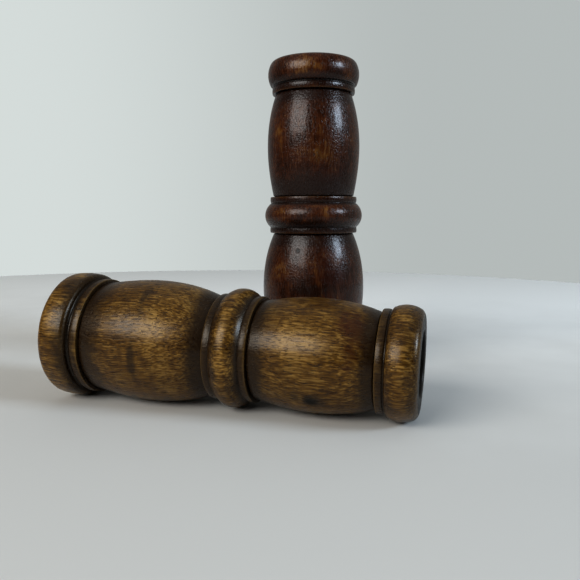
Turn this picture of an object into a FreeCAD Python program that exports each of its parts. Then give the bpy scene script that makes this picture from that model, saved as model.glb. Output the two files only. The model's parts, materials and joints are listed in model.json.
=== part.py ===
import FreeCAD, Part
import math
import os

# A pair of claves: two short hardwood turnings, alike, each made from one piece of wood.
# Each has a wide base ring, a lower barrel, a middle ring, an upper barrel and an end ring,
# with narrow flats (fillets) and grooves between them, and is bored from its narrow end.
# One clave lies on its base ring and its end ring, and the other stands on its foot behind it.
#
# Frame: +Z up, with Z = 0 on the table and the origin under the middle of the pair's box.
# +X runs along the lying clave, from its foot to its mouth, and +Y to the standing clave.

V = FreeCAD.Vector

# the whole turning, and the bore down it from its narrow end
length = 130.0
bore_radius = 11.0
bore_depth = 92.0
bore_mouth_round = 0.9
drill_point_angle = 118.0

# base ring, its cove and its fillet
base_ring_radius = 22.8
base_ring_width = 10.8
base_ring_crown = 26.0      # radius of the slow curve between its rounded edges
base_foot_round = 3.0
base_edge_round = 1.8
base_cove_width = 1.7
base_cove_depth = 0.85
base_fillet_radius = 20.85
base_fillet_width = 2.65

# what all the fillets and V grooves share
fillet_crown = 0.15
groove_width = 0.45
groove_depth = 0.85         # below the end of the barrel beside it

# lower barrel, which takes the length that the rest leaves: its radius at its two ends,
# and the two radii that pull its curve out at a third and two thirds of its length
lower_barrel_foot = 19.65
lower_barrel_low_pull = 22.35
lower_barrel_high_pull = 23.4
lower_barrel_neck = 17.1

# middle ring: a round bead between two fillets
middle_ring_radius = 20.8
middle_ring_width = 10.0
middle_low_fillet_radius = 18.5
middle_low_fillet_width = 2.3
middle_high_fillet_radius = 18.35
middle_high_fillet_width = 2.3
middle_cove_width = 0.4     # the small hollow between the bead and its upper fillet
middle_cove_depth = 0.18

# upper barrel, steered in the same way
upper_barrel_length = 41.1
upper_barrel_foot = 17.15
upper_barrel_low_pull = 20.1
upper_barrel_high_pull = 20.8
upper_barrel_neck = 16.05

# end ring: its fillet, a small cove, and a crowned band that rolls over into the mouth
end_fillet_radius = 17.25
end_fillet_width = 2.4
end_cove_width = 0.75
end_cove_depth = 0.35
end_ring_radius = 19.1
end_ring_width = 10.2
end_ring_crown = 9.0
end_ring_low_round = 0.9
end_ring_mouth_round = 2.9

# how the pair is set down
standing_along = 78.25      # from the lying clave's foot to the standing clave's axis
gap_between = 15.6          # between the two base rings, seen from above

base_height = base_ring_width + base_cove_width + base_fillet_width + groove_width
middle_height = (groove_width + middle_low_fillet_width + middle_ring_width + middle_cove_width
                 + middle_high_fillet_width + groove_width)
end_height = groove_width + end_fillet_width + end_cove_width + end_ring_width
lower_barrel_length = length - base_height - middle_height - upper_barrel_length - end_height


class Outline:
    """A pen that draws half of the turning's section, up its outside from the foot.

    X is the radius and Z the height. Each stroke gives the radius that it ends at
    and how far up it goes.
    """

    def __init__(self):
        self.here = V(0, 0, 0)
        self.edges = []
        self.crowns = []

    def line(self, radius, up=0.0):
        end = V(radius, 0, self.here.z + up)
        self.edges.append(Part.LineSegment(self.here, end).toShape())
        self.here = end

    def arc(self, radius, up, rise):
        """An arc that swells out by the rise, or is hollow where the rise is negative."""
        end = V(radius, 0, self.here.z + up)
        along = end - self.here
        outward = V(along.z, 0, -along.x).normalize()
        middle = (self.here + end) * 0.5 + outward * rise
        self.edges.append(Part.Arc(self.here, middle, end).toShape())
        self.here = end

    def quarter(self, radius, up, centre_radius, centre_up):
        """A quarter turn about a centre."""
        end = V(radius, 0, self.here.z + up)
        centre = V(centre_radius, 0, self.here.z + centre_up)
        outward = ((self.here + end) * 0.5 - centre).normalize()
        middle = centre + outward * (end - centre).Length
        self.edges.append(Part.Arc(self.here, middle, end).toShape())
        self.here = end

    def bead(self, radius, top, width):
        """A round bead as one arc, kept as (height of its centre, its radius, arc radius)."""
        rise = top - (self.here.x + radius) / 2
        arc_radius = (width ** 2 / 4 + rise ** 2) / (2 * rise)
        self.crowns.append((self.here.z + width / 2, top - arc_radius, arc_radius))
        self.arc(radius, width, rise)

    def ring(self, top, width, crown, low_round, high_round, cove_width=0.0, cove_depth=0.0):
        """A ring as three arcs that run into each other: a small round, a slow crown and
        another small round. A cove leads to it, or a flat face where the cove has no width."""
        rounds = low_round + high_round
        band = (width - rounds) / (1 - rounds / (2 * crown))
        lean_in = math.asin(band / 2 / crown)
        flare, dip = math.cos(lean_in), 1 - math.sin(lean_in)
        edge = top - crown * (1 - flare)
        if cove_width:
            self.arc(edge - low_round * flare, cove_width, -cove_depth)
        else:
            self.line(edge - low_round * flare)
        self.quarter(edge, low_round * dip, edge - low_round * flare, low_round)
        self.crowns.append((self.here.z + band / 2, top - crown, crown))
        self.arc(edge, band, crown * (1 - flare))
        self.quarter(edge - high_round * flare, high_round * dip,
                     edge - high_round * flare, high_round * (dip - 1))

    def groove(self, floor, radius):
        """A V groove down to its floor, then out to the next radius."""
        self.line(floor, groove_width / 2)
        self.line(radius, groove_width / 2)

    def barrel(self, low_pull, high_pull, neck, up):
        """A barrel's side: one smooth curve, pulled out to two radii at its thirds."""
        start, end = self.here, V(neck, 0, self.here.z + up)
        curve = Part.BezierCurve()
        curve.setPoles([start, V(low_pull, 0, start.z + up / 3),
                        V(high_pull, 0, end.z - up / 3), end])
        self.edges.append(curve.toShape())
        self.here = end


def draw_base(pen):
    pen.ring(base_ring_radius, base_ring_width, base_ring_crown, base_foot_round, base_edge_round)
    pen.arc(base_fillet_radius, base_cove_width, -base_cove_depth)
    pen.arc(base_fillet_radius, base_fillet_width, fillet_crown)


def draw_middle(pen):
    pen.arc(middle_low_fillet_radius, middle_low_fillet_width, fillet_crown)
    pen.bead(middle_high_fillet_radius, middle_ring_radius, middle_ring_width)
    pen.arc(middle_high_fillet_radius, middle_cove_width, -middle_cove_depth)
    pen.arc(middle_high_fillet_radius, middle_high_fillet_width, fillet_crown)


def draw_end(pen):
    pen.arc(end_fillet_radius, end_fillet_width, fillet_crown)
    pen.ring(end_ring_radius, end_ring_width, end_ring_crown, end_ring_low_round,
             end_ring_mouth_round, end_cove_width, end_cove_depth)


def draw_bore(pen):
    mouth = bore_radius + bore_mouth_round
    pen.line(mouth)
    pen.quarter(bore_radius, -bore_mouth_round, mouth, -bore_mouth_round)
    pen.line(bore_radius, bore_mouth_round - bore_depth)
    pen.line(0, -bore_radius / math.tan(math.radians(drill_point_angle / 2)))
    pen.line(0, -pen.here.z)


def draw_clave():
    """The whole outline of one clave, from the middle of its foot and round back to it."""
    pen = Outline()
    draw_base(pen)
    pen.groove(lower_barrel_foot - groove_depth, lower_barrel_foot)
    pen.barrel(lower_barrel_low_pull, lower_barrel_high_pull, lower_barrel_neck, lower_barrel_length)
    pen.groove(lower_barrel_neck - groove_depth, middle_low_fillet_radius)
    draw_middle(pen)
    pen.groove(upper_barrel_foot - groove_depth, upper_barrel_foot)
    pen.barrel(upper_barrel_low_pull, upper_barrel_high_pull, upper_barrel_neck, upper_barrel_length)
    pen.groove(upper_barrel_neck - groove_depth, end_fillet_radius)
    draw_end(pen)
    draw_bore(pen)
    return pen


def turn_clave(pen):
    """One clave turned from its outline, standing on the Z axis."""
    return Part.Face(Part.Wire(pen.edges)).revolve(V(0, 0, 0), V(0, 0, 1), 360)


def lean_on(first, second):
    """How far the axis dips towards the mouth, in radians, when it lies on two crowns."""
    along, across = second[0] - first[0], second[1] - first[1]
    return math.asin((first[2] - second[2]) / math.hypot(along, across)) - math.atan2(across, along)


pen = draw_clave()
base_crown, middle_crown, end_crown = pen.crowns
lean = min(lean_on(base_crown, middle_crown), lean_on(base_crown, end_crown))

# the lying clave is laid along +X, dipped by its lean, and let down onto the table
lying = turn_clave(pen)
lying.rotate(V(0, 0, 0), V(0, 1, 0), 90 + math.degrees(lean))
foot_height = -lying.optimalBoundingBox(False, False).ZMin
lying.translate(V(0, 0, foot_height))

standing = turn_clave(pen)
standing_behind = 2 * base_ring_radius + gap_between
standing.translate(V(standing_along, standing_behind, 0))

# the origin goes under the middle of the pair
pair_box = lying.optimalBoundingBox(False, False)
pair_box.add(standing.optimalBoundingBox(False, False))
shift = V(-pair_box.Center.x, -pair_box.Center.y, 0)
for solid in (lying, standing):
    solid.translate(shift)

print("lying clave's foot", V(0, 0, foot_height) + shift, "leans", math.degrees(lean))
print("standing clave's foot", V(standing_along, standing_behind, 0) + shift)
print("lower barrel's length", lower_barrel_length)
print("least wall", upper_barrel_neck - groove_depth - bore_radius)

os.makedirs("parts", exist_ok=True)
for name, solid in (("lying_clave", lying), ("standing_clave", standing)):
    print(name, "valid", solid.isValid(), "cm3", round(solid.Volume / 1000, 2))
    solid.exportStep("parts/" + name + ".step")
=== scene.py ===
import json
import math

import bpy
import numpy as np
from mathutils import Matrix, Vector, noise


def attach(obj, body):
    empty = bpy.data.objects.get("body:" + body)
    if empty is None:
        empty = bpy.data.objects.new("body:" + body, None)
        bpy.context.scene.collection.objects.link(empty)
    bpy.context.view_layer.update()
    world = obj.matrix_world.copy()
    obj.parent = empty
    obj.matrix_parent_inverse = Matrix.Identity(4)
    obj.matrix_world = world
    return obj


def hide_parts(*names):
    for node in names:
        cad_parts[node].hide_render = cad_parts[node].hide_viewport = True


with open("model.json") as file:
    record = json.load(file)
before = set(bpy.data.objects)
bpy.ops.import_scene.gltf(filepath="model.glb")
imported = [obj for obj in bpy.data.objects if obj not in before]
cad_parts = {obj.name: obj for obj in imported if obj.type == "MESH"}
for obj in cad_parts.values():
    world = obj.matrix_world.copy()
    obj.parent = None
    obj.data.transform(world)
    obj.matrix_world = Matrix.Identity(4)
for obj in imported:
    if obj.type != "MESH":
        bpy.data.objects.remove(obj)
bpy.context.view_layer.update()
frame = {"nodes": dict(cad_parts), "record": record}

# ---------------------------------------------------------------------------------------------
# Where the pair is seen from. The eye is close, level with the standing clave's middle ring and
# past the lying clave's mouth, and it looks a little down and to the left across the pair.

EYE = Vector((0.0785, -0.2287, 0.0676))
LOOK_LEFT = math.radians(16.285)
LOOK_DOWN = math.radians(7.151)
HEAD_TILT = math.radians(0.194)
LENS = 38.24               # millimetres, as the sensor is
SENSOR = 36.0
NEAREST = 0.01

camera = bpy.data.objects.new("camera", bpy.data.cameras.new("camera"))
bpy.context.scene.collection.objects.link(camera)
aim = Matrix.Rotation(LOOK_LEFT, 3, "Z") @ Matrix.Rotation(math.radians(90) - LOOK_DOWN, 3, "X")
camera.rotation_euler = (aim @ Matrix.Rotation(-HEAD_TILT, 3, "Z")).to_euler()
camera.location = EYE
camera.data.lens = LENS
camera.data.sensor_width = SENSOR
camera.data.clip_start = NEAREST
bpy.context.scene.camera = camera

# ---------------------------------------------------------------------------------------------
# The lying clave: one billet of open-pored hardwood, turned between centres, bored from its
# narrow end, sanded on the lathe and parted off, so its edges are soft. It is golden brown under
# a thin satin coat of wax, worn by hands, and lies on its base ring and its end ring.

FINE = 0.00005             # spacing of the outline while it is worked on
SANDED = 0.00009           # how far sanding has softened every arris
SECTORS = 256              # facets round a clave
LONGEST_STEP = 0.0009      # the furthest from one ring of facets to the next, on the outside
BORE_STEP = 0.004          # and down the bore
STEEPEST_STEP = math.radians(13)
LIP_STEPS = 9              # points round the mouth's rounding
BORE_WALL = 0.002          # the outside is everywhere further out from the mouth than this
GROOVE_REACH = 0.0012      # how far round a spot counts for how deep it lies in a groove
RING_REACH = 0.0050        # and for how far it lies below the rings beside it
SHRUNK_OVAL = 0.00004      # what drying and sanding have taken off
SANDED_AWAY = 0.00003
SANDED_WAVES = 90          # to the metre

# heights of the base fillet, of both sides of the middle ring, and of the end fillet
SET_OUT = [0.0140, 0.0596, 0.0746, 0.1166]


def mount(name):
    """The record's mount of that name."""
    return next(m for m in frame["record"]["mounts"] if m["name"] == name)


def read_outline(node, foot, up, bore):
    """The outline of a turned node, as (height, radius) from the middle of its foot round its
    outside, over its mouth and down its bore to the drill's point."""
    points = np.array([v.co for v in frame["nodes"][node].data.vertices]) - np.array(foot)
    height = points @ np.array(up)
    radius = np.linalg.norm(points - np.outer(height, up), axis=1)
    bore_radius, bore_length = bore["dims"]["r_mm"] / 1000, bore["dims"]["length_mm"] / 1000
    top = height.max()
    mouth = radius[height > top - FINE].min()
    point = height[(radius < FINE) & (height > FINE)].min()
    outside = radius > (mouth + BORE_WALL)
    place = np.round(height[outside] / (FINE / 2)).astype(int)
    index = np.unique(place, return_inverse=True)[1]
    counts = np.bincount(index)
    high = np.bincount(index, height[outside]) / counts
    wide = np.bincount(index, radius[outside]) / counts
    turn = np.radians(np.linspace(0, 90, LIP_STEPS))
    rounding = mouth - bore_radius
    lip = np.stack([top - rounding * (1 - np.cos(turn)), mouth - rounding * np.sin(turn)], 1)
    down = [(top - rounding - bore_length, bore_radius), (point, 0)]
    return np.vstack([[(0, 0)], np.stack([high, wide], 1), lip, down])


def along(line):
    """How far along a line each of its points is."""
    return np.concatenate([[0], np.cumsum(np.linalg.norm(np.diff(line, axis=0), axis=1))])


def blur(values, width):
    """Values along the outline, softened over that many steps, with their ends held."""
    reach = int(3 * width) + 1
    bell = np.exp(-0.5 * (np.arange(-reach, reach + 1) / width) ** 2)
    held = np.concatenate([2 * values[0] - values[reach:0:-1], values,
                           2 * values[-1] - values[-2:-reach - 2:-1]])
    return np.convolve(held, bell / bell.sum(), "valid")


def sanded_outline(outline):
    """The outline with its arrises softened, evenly spaced and fine."""
    walked = along(outline)
    even = np.arange(0, walked[-1], FINE)
    line = np.stack([np.interp(even, walked, outline[:, 0]), np.interp(even, walked, outline[:, 1])], 1)
    return np.stack([blur(line[:, 0], SANDED / FINE), blur(line[:, 1], SANDED / FINE)], 1)


def ring_places(line, mouth_at):
    """Which of the outline's points get a ring of facets: more where it turns."""
    heading = np.unwrap(np.arctan2(np.gradient(line[:, 1]), np.gradient(line[:, 0])))
    turning = np.abs(np.gradient(heading))
    step = np.where(np.arange(len(line)) < mouth_at, LONGEST_STEP, BORE_STEP)
    step[line[:, 0] < FINE] = BORE_STEP
    cost = np.cumsum(FINE / step + turning / STEEPEST_STEP)
    wanted = np.linspace(cost[0], cost[-1], int(cost[-1]))
    return np.unique(np.searchsorted(cost, wanted).clip(1, len(line) - 2))


def turn_piece(name, node, foot, up, bore, ring_off, dents):
    """A clave as one lathe-turned mesh. Its own frame has Z from the middle of its foot towards
    its mouth, square to the table's axes, and Y to the front. The middle ring was set out by
    eye, so it is off by that much, and the barrels beside it make up the difference."""
    outline = read_outline(node, foot, up, bore)
    line = sanded_outline(outline)
    line[:, 0] += np.interp(line[:, 0], SET_OUT, [0, ring_off, ring_off, 0])
    z = Vector([round(part) for part in up])
    y = Vector((0, -1, 0))
    turned = Matrix((y.cross(z), y, z)).transposed()
    lean = Vector((0, 0, 1)).rotation_difference(turned.inverted() @ Vector(up))
    mouth_at = int(np.argmax(line[:, 0] > outline[:, 0].max() - SANDED))
    places = ring_places(line, mouth_at)
    walked = along(line)[places] / along(line)[-1]
    hollow = blur(line[:, 1], GROOVE_REACH / FINE) - line[:, 1]
    waist = blur(line[:, 1], RING_REACH / FINE) - line[:, 1]
    inside = (places > mouth_at).astype(float)

    angles = np.linspace(0, 2 * math.pi, SECTORS, endpoint=False)
    verts = []
    for at in places:
        height, radius = line[at]
        worked = at < mouth_at and height > FINE
        for angle in angles:
            out = Vector((math.cos(angle), math.sin(angle), 0))
            spot = lean @ (out * radius + Vector((0, 0, height)))
            lost = hand_work(out, spot, dents) if worked else 0.0
            verts.append(spot - lean @ out * lost)
    verts += [lean @ Vector((0, 0, line[0, 0])), lean @ Vector((0, 0, line[-1, 0]))]

    rings, faces, uvs = len(places), [], []
    low_pole, high_pole = len(verts) - 2, len(verts) - 1
    for i in range(SECTORS):
        j = (i + 1) % SECTORS
        left, right = i / SECTORS, (i + 1) / SECTORS
        faces.append((low_pole, j, i))
        uvs += [((left + right) / 2, 0), (right, walked[0]), (left, walked[0])]
        for k in range(rings - 1):
            a, b = k * SECTORS, (k + 1) * SECTORS
            faces.append((a + i, a + j, b + j, b + i))
            uvs += [(left, walked[k]), (right, walked[k]), (right, walked[k + 1]), (left, walked[k + 1])]
        last = (rings - 1) * SECTORS
        faces.append((last + i, last + j, high_pole))
        uvs += [(left, walked[-1]), (right, walked[-1]), ((left + right) / 2, 1)]

    mesh = bpy.data.meshes.new(name)
    mesh.from_pydata(verts, [], faces)
    mesh.uv_layers.new(name="OFBake").data.foreach_set("uv", np.array(uvs, np.float32).ravel())
    for title, values in (("hollow", hollow[places]), ("waist", waist[places]), ("inside", inside)):
        spread = np.append(np.repeat(values, SECTORS), [0, inside[-1] if title == "inside" else 0])
        mesh.attributes.new(title, "FLOAT", "POINT").data.foreach_set("value", spread.astype(np.float32))
    mesh.shade_smooth()
    mesh.update()

    piece = bpy.data.objects.new(name, mesh)
    bpy.context.scene.collection.objects.link(piece)
    piece.matrix_world = Matrix.Translation(foot) @ turned.to_4x4()
    return piece


def hand_work(out, spot, dents):
    """How much wood is gone at a spot: drying has drawn the round a little oval, sanding has
    left it a little uneven, and knots and knocks have left small dents."""
    oval = SHRUNK_OVAL * (1 + out.x * out.x - out.y * out.y)
    uneven = SANDED_AWAY * (1 + noise.noise(spot * SANDED_WAVES))
    dent = 0.0
    for place, across, depth in dents:
        away = (spot - Vector(place) / 1000).length / across
        if away < 1:
            dent += depth * (1 - away * away) ** 2
    return oval + uneven + dent


# its wood has long fibres along the axis, short dark pores between them, a wavy figure across
# them, and stains and dark wax gathered in the hollows, with painted shade laid over them in the
# grooves and round the rings: here places and sizes are in millimetres, and a grain's stretch is
# how many of its waves go in one
ALL_ROUND = 300            # so wide that a mark goes right round
KNOT_BLACK = (0.003, 0.002, 0.0015, 1)
GROOVE_WAX_AND_SHADE = (0.004, 0.002, 0.0012, 1)
BORE_BLACK = (0.0015, 0.0012, 0.001, 1)
RELIEF = 0.0001            # metres of height for each whole step of relief


class Value:
    """One output of a shader node. Sums of values add Math nodes, and make adds any other."""

    def __init__(self, socket):
        self.socket = socket

    def make(self, kind, settings=None, inputs=None, output=0):
        """A node of that kind: its settings first, then a value or a link for its inputs."""
        tree = self.socket.id_data
        node = tree.nodes.new(kind)
        for name, setting in (settings or {}).items():
            setattr(node, name, setting)
        for name, value in (inputs or {}).items():
            if isinstance(value, Value):
                tree.links.new(value.socket, node.inputs[name])
            else:
                node.inputs[name].default_value = value
        return Value(node.outputs[output])

    def maths(self, operation, first, second=0.0):
        return self.make("ShaderNodeMath", {"operation": operation}, {0: first, 1: second})

    def __add__(self, other):
        return self.maths("ADD", self, other)

    def __sub__(self, other):
        return self.maths("SUBTRACT", self, other)

    def __rsub__(self, other):
        return self.maths("SUBTRACT", other, self)

    def __mul__(self, other):
        return self.maths("MULTIPLY", self, other)

    __radd__ = __add__
    __rmul__ = __mul__

    def fade(self, low, high):
        """0 below low, 1 above high, and a smooth step between."""
        ends = {"Value": self, "From Min": low, "From Max": high}
        return self.make("ShaderNodeMapRange", {"interpolation_type": "SMOOTHSTEP"}, ends)

    def stretch(self, scale):
        """A place, with its three parts scaled each by their own number."""
        return self.make("ShaderNodeVectorMath", {"operation": "MULTIPLY"}, {0: self, 1: scale})

    def grain(self, scale, detail=2.0, rough=0.5):
        """Smooth noise at a place, around 0.5."""
        kind = {"Vector": self, "Scale": scale, "Detail": detail, "Roughness": rough}
        return self.make("ShaderNodeTexNoise", {}, kind)

    def mix(self, first, second):
        """The first colour where this is 0, and the second where it is 1."""
        ends = {"Factor": self, 6: first, 7: second}
        return self.make("ShaderNodeMix", {"data_type": "RGBA"}, ends, 2)


def finish_for(name):
    """A new finish: its shader, the place on the piece in millimetres, and a reader of the
    values that the turning carries."""
    material = bpy.data.materials.new(name)
    material.use_nodes = True
    tree = material.node_tree
    shader = tree.nodes["Principled BSDF"]
    place = Value(tree.nodes.new("ShaderNodeTexCoord").outputs["Object"]).stretch((1000, 1000, 1000))

    def carried(title):
        return place.make("ShaderNodeAttribute", {"attribute_name": title}, {}, "Fac")

    return material, shader, place, carried


def fed(shader, **sockets):
    """Feeds a shader's sockets, with _ for the spaces in their names."""
    for name, value in sockets.items():
        socket = shader.inputs[name.replace("_", " ")]
        if isinstance(value, Value):
            socket.id_data.links.new(value.socket, socket)
        else:
            socket.default_value = value


def spots(place, marks, ragged):
    """Where any of these marks lies, each a middle, a size and a strength: their strength in
    their middles and 0 outside them, with ragged edges."""
    total = None
    for middle, size, strength in marks:
        offset = place.make("ShaderNodeVectorMath", {"operation": "SUBTRACT"}, {0: place, 1: middle})
        reach = offset.stretch(tuple(1 / s for s in size))
        away = reach.make("ShaderNodeVectorMath", {"operation": "LENGTH"}, {0: reach}, 1)
        mark = (1 - (away + ragged).fade(0.3, 1.1)) * strength
        total = mark if total is None else total.maths("MAXIMUM", total, mark)
    return total


def band(height, width, strength):
    """A mark that goes all the way round a clave."""
    return (0, 0, height), (ALL_ROUND, ALL_ROUND, width), strength


def grown(place, curl):
    """What has grown in the wood: its fibres and the threads in them, its pores, its mottle,
    the wavy figure across it, and the slow change from one side of the billet to another."""
    drift = place.stretch((0.04, 0.04, 0.02)).grain(1.0, 1.0)
    ripple = place.stretch((0.12, 0.12, 0.30)).grain(1.0, 1.0)
    push = (drift - 0.5) * 8 + (ripple - 0.5) * curl
    side = place.make("ShaderNodeCombineXYZ", {}, {"X": push, "Y": push * 0.7})
    bent = place.make("ShaderNodeVectorMath", {"operation": "ADD"}, {0: place, 1: side})
    fibres = bent.stretch((1.25, 1.25, 0.08)).grain(1.0, 3.0, 0.6)
    threads = bent.stretch((2.4, 2.4, 0.18)).grain(1.0, 1.0)
    pores = bent.stretch((2.6, 2.6, 0.5)).grain(1.0, 1.0).fade(0.61, 0.70)
    mottle = bent.stretch((0.15, 0.15, 0.12)).grain(1.0, 3.0, 0.6)
    figure = place.stretch((0.22, 0.22, 0.55)).grain(1.0, 1.0)
    cloud = place.stretch((0.05, 0.05, 0.045)).grain(1.0, 2.0)
    return fibres, threads, pores, mottle, figure, cloud


def wood(name, colours, stains_and_shade, knots, blushes, pale_patches_and_highlights, look):
    """A finish of open-pored wood, coloured by staining. Pale patches and highlights are lighter:
    paler wood, and painted highlights. Blushes are redder. Stains and shade are darker: stains
    soaked into the wood, and bands of painted shade round the fillets and rings. Look says how
    strong each part of the grain is."""
    material, shader, place, carried = finish_for(name)
    hollow, waist, inside = carried("hollow") * 1000, carried("waist") * 1000, carried("inside")
    fibres, threads, pores, mottle, figure, cloud = grown(place, look["curl"])

    tone = (look["tone"] + (fibres - 0.5) * look["fibres"] + (threads - 0.5) * look["threads"]
            + (mottle - 0.5) * look["mottle"] + (figure - 0.5) * look["figure"] + (cloud - 0.5) * 0.9)
    ragged = (fibres - 0.5) * 0.8 + (mottle - 0.5) * 1.4
    # lighter where the pale patches lie: paler wood, and on the lying clave painted highlights
    tone = tone + spots(place, pale_patches_and_highlights, ragged) * 0.4
    body = tone.fade(0.05, 0.66).mix(colours["dark"], colours["gold"])
    body = tone.fade(0.50, 1.15).mix(body, colours["pale"])
    body = spots(place, blushes, ragged).mix(body, colours["red"])

    # darker the further a spot lies below the rings beside it: stains soaked in there, and painted shade
    # where the rings' flanks and the barrels' ends turn from the light
    shade_and_stain = waist + (cloud - 0.5) * 0.5 + (mottle - 0.5) * 0.5 + (fibres - 0.5) * 0.4
    body = (shade_and_stain.fade(*look["shade_and_stain_range"]) * 0.85).mix(body, colours["deep"])
    body = (pores * 0.7).mix(body, colours["deep"])
    # darker where the stains lie, and in the bands round the fillets and rings, which are painted shade
    # over some staining
    body = spots(place, stains_and_shade, ragged).mix(body, colours["deep"])
    knot = spots(place, knots, (threads - 0.5) * 0.6)
    body = knot.mix(body, KNOT_BLACK)
    # near-black deep in the grooves: dark wax gathered there, and painted shade
    body = (hollow + (threads - 0.5) * 0.15).fade(0.05, 0.80).mix(body, GROOVE_WAX_AND_SHADE)
    # the crests of the arrises are paler: wear, and a painted highlight along them
    wear_and_highlight = (0 - hollow).fade(0.22, 0.50) * 0.35
    body = wear_and_highlight.mix(body, colours["pale"])
    body = inside.mix(body, BORE_BLACK)

    rough = look["rough"] + (threads - 0.5) * 0.3 + (fibres - 0.5) * 0.25 + pores * 0.12
    rough = rough + inside * 0.3 + knot * 0.3
    relief = fibres * 0.45 + threads * 0.55 - pores * 0.6
    peel = place.grain(look["peel"], 1.0)
    height = relief * look["fibre_relief"] + peel * look["peel_relief"] - knot * 2.5
    normal = height.make("ShaderNodeBump", {}, {"Height": height, "Distance": RELIEF})
    fed(shader, Base_Color=body, Roughness=rough, Normal=normal, IOR=1.45, Specular_IOR_Level=0.3)
    return material, shader


lying_foot, lying_bore = mount("lying_foot"), mount("lying_bore")
KNOT = (-14.5, 15.7, 96.8)
golden, golden_shader = wood(
    "golden_brown_wood",
    colours={"deep": (0.015, 0.006, 0.001, 1), "dark": (0.044, 0.018, 0.0025, 1),
             "red": (0.042, 0.009, 0.0016, 1), "gold": (0.124, 0.058, 0.006, 1),
             "pale": (0.30, 0.174, 0.042, 1)},
    # the bands round the fillets, the rings' flanks and the barrels' ends are painted shade over some
    # staining; the marks after them are stains and the knot
    stains_and_shade=[band(11.8, 6.5, 0.85), band(17.5, 8, 0.7), band(60.5, 7.5, 0.8),
             band(75, 6.8, 0.8), band(117, 6, 0.7), band(130, 6, 0.65),
             ((15.8, 13, 37.5), (5, 6, 1.9), 0.7), ((12.2, 17, 38.4), (4, 4, 1.5), 0.5),
             ((-4.2, 21.3, 36.7), (10, 6, 1.8), 0.8), ((-13.4, 16.5, 91.6), (3, 3, 2.5), 0.6),
             (KNOT, (3.6, 3.6, 5), 0.8)],
    knots=[(KNOT, (2.8, 2.8, 3.0), 1.0)],
    blushes=[((8.9, 13, 110.3), (9, 9, 6.5), 0.85), ((12, 10.6, 106.4), (3, 4, 3), 0.8),
             ((1.6, 17.4, 109.1), (6, 5, 3.5), 0.6)],
    # the first two lie where the front window's highlights fall on the barrels: painted highlight over
    # paler wood
    pale_patches_and_highlights=[((6.6, 19, 44.2), (12, 8, 7), 0.7), ((4, 17, 92), (12, 8, 9), 1.0),
            ((1.9, 20, 67), (16, 8, 3), 0.8)],
    look={"tone": 0.48, "curl": 0.7, "fibres": 1.4, "threads": 1.8, "mottle": 0.8, "figure": 0.5,
          "shade_and_stain_range": (-0.30, 0.40), "rough": 0.33, "peel": 1.2, "fibre_relief": 1.7, "peel_relief": 0.5})
fed(golden_shader, Coat_Weight=0.24, Coat_Roughness=0.25, Specular_Tint=(1.0, 0.86, 0.66, 1.0))
lying = turn_piece("lying_turning", "lying_clave", lying_foot["pos_m"], lying_bore["axis"],
                   lying_bore, 0.0008, [(KNOT, 0.0013, 0.0004)])
lying.data.materials.append(golden)
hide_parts("lying_clave")
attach(lying, "lying_clave")

# ---------------------------------------------------------------------------------------------
# The standing clave: its twin, turned to the same outline from a billet of the same wood. It is
# stained a deep red brown and varnished to a harder shine, and stands on its foot.

standing_foot, standing_bore = mount("standing_foot"), mount("standing_bore")
PIT = (1.6, 19.5, 52.3)
dark_wood, dark_shader = wood(
    "dark_brown_wood",
    colours={"deep": (0.013, 0.0034, 0.001, 1), "dark": (0.024, 0.0060, 0.0014, 1),
             "red": (0.028, 0.005, 0.0016, 1), "gold": (0.064, 0.0155, 0.0026, 1),
             "pale": (0.18, 0.080, 0.015, 1)},
    # the bands under the middle ring's bead, at the foot of the upper barrel and under the end ring are
    # painted shade over some staining; the patch after them is a stain
    stains_and_shade=[band(62.2, 2.8, 0.85), band(78, 6, 0.6), band(119.5, 4, 0.7),
             ((-4, 21.4, 36.5), (14, 9, 3), 0.8)],
    knots=[(PIT, (1.1, 1.1, 1.1), 1.0)],
    blushes=[((-10, 15, 80), (9, 8, 6), 0.6), ((-12, 18, 45), (8, 6, 8), 0.6)],
    pale_patches_and_highlights=[((8, 19, 45), (9, 8, 6), 0.9), ((7, 19.5, 67.5), (8, 6, 4), 1.0),
            ((-11, 17, 68), (9, 7, 3), 0.6), ((-8, 18, 91), (8, 8, 6), 0.6),
            ((1, 19, 91), (8, 6, 5), 0.6), ((10.3, 16.4, 98.5), (5, 6, 8), 1.0),
            ((-2, 18.5, 124.5), (10, 7, 5), 1.0)],
    look={"tone": 0.30, "curl": 0.7, "fibres": 1.3, "threads": 0.9, "mottle": 1.5, "figure": 0.5,
          "shade_and_stain_range": (-0.2, 0.25), "rough": 0.28, "peel": 1.4, "fibre_relief": 1.2, "peel_relief": 1.6})
fed(dark_shader, Coat_Weight=0.2, Coat_Roughness=0.16)
standing = turn_piece("standing_turning", "standing_clave", standing_foot["pos_m"],
                      standing_bore["axis"], standing_bore, -0.0005, [(PIT, 0.0006, 0.0002)])
standing.data.materials.append(dark_wood)
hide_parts("standing_clave")
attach(standing, "standing_clave")

# ---------------------------------------------------------------------------------------------
# The table and the light. The table top is round and covered in a plain pale cloth, painted
# lighter towards the back where the lamps light it less. A wide soft window is to the front left,
# a small cool one to the right, and a pale ceiling overhead.

TABLE_RADIUS = 0.50
TABLE_MIDDLE = Vector((-0.06, -0.02, 0))
TABLE_EDGE = 0.01
TABLE_SKIRT = 0.03
CORNERS = 180
NEAR_CLOTH, FAR_CLOTH_PAINTED_LIGHT = (0.595, 0.585, 0.555, 1), (0.93, 0.93, 0.90, 1)

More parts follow.
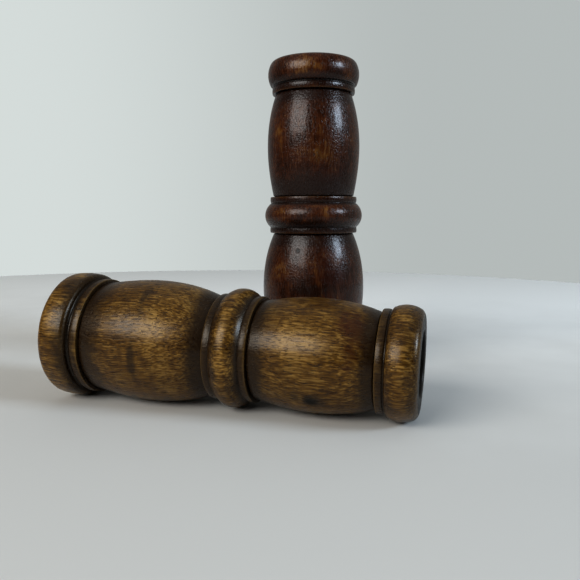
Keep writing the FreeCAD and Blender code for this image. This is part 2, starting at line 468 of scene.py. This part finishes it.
profile = [(0, 0), (TABLE_RADIUS - TABLE_EDGE, 0)]
profile += [(TABLE_RADIUS - TABLE_EDGE + TABLE_EDGE * math.sin(math.radians(a)),
             TABLE_EDGE * (math.cos(math.radians(a)) - 1)) for a in range(10, 91, 10)]
profile.append((TABLE_RADIUS, -TABLE_SKIRT))
table_verts = [Vector((0, 0, 0))]
for wide, high in profile[1:]:
    for i in range(CORNERS):
        angle = 2 * math.pi * i / CORNERS
        table_verts.append(Vector((wide * math.cos(angle), wide * math.sin(angle), high)))
table_faces = [(0, 1 + i, 1 + (i + 1) % CORNERS) for i in range(CORNERS)]
for k in range(len(profile) - 2):
    a, b = 1 + k * CORNERS, 1 + (k + 1) * CORNERS
    table_faces += [(a + i, b + i, b + (i + 1) % CORNERS, a + (i + 1) % CORNERS) for i in range(CORNERS)]
table_mesh = bpy.data.meshes.new("table")
table_mesh.from_pydata(table_verts, [], table_faces)
table_mesh.shade_smooth()
table = bpy.data.objects.new("table", table_mesh)
table.location = TABLE_MIDDLE
bpy.context.scene.collection.objects.link(table)

top, top_shader, top_place = finish_for("pale_table_top")[:3]
haze = (top_place.grain(0.02, 3.0) - 0.5) * 120
back = top_place.make("ShaderNodeSeparateXYZ", {}, {"Vector": top_place}, "Y")
# the cloth is painted lighter towards the back, standing in for the light that falls off there
fed(top_shader, Base_Color=(back + haze).fade(-60, 300).mix(NEAR_CLOTH, FAR_CLOTH_PAINTED_LIGHT), Roughness=0.9)
table_mesh.materials.append(top)

PAIR_MIDDLE = Vector((0.012, 0.0, 0.06))


def window(name, bearing, rise, away, width, height, colour, power):
    """A soft window, this far from the pair, with its bearing to the right of straight in front
    of them and its rise above the table, both in degrees, and its power in watts."""
    turn, lift = math.radians(bearing), math.radians(rise)
    way = Vector((math.sin(turn) * math.cos(lift), -math.cos(turn) * math.cos(lift), math.sin(lift)))
    light = bpy.data.lights.new(name, "AREA")
    light.shape = "RECTANGLE"
    light.size, light.size_y = width, height
    light.color = colour
    light.energy = power
    lamp = bpy.data.objects.new(name, light)
    lamp.location = PAIR_MIDDLE + way * away
    lamp.rotation_euler = way.to_track_quat("Z", "Y").to_euler()
    bpy.context.scene.collection.objects.link(lamp)


window("front_window", -27, 28, 1.2, 0.84, 0.56, (1.0, 0.99, 0.97), 11)
window("side_window", 84, 25, 1.2, 0.36, 0.30, (0.70, 0.84, 1.0), 9.5)
window("ceiling", -20, 74, 1.8, 2.4, 2.4, (0.98, 1.0, 1.0), 6.5)

# the room behind is pale to the left, and what the wood mirrors of it is dimmer
world = bpy.data.worlds.new("room")
bpy.context.scene.world = world
world.use_nodes = True
room = world.node_tree
background = room.nodes["Background"]
facing = Value(room.nodes.new("ShaderNodeTexCoord").outputs["Generated"])
across = facing.make("ShaderNodeSeparateXYZ", {}, {"Vector": facing}, "X")
behind = facing.make("ShaderNodeSeparateXYZ", {}, {"Vector": facing}, "Y")
seen = Value(room.nodes.new("ShaderNodeLightPath").outputs["Is Camera Ray"])
wall = across.fade(-0.65, -0.05).mix((0.63, 0.67, 0.66, 1), (0.465, 0.495, 0.49, 1))
dim = behind.fade(-0.4, 0.8).mix((0.02, 0.02, 0.02, 1), (0.32, 0.33, 0.325, 1))
room.links.new(seen.mix(dim, wall).socket, background.inputs["Color"])

view = bpy.context.scene.view_settings
view.view_transform = "Standard"
view.gamma = 0.82
view.exposure = 0.18
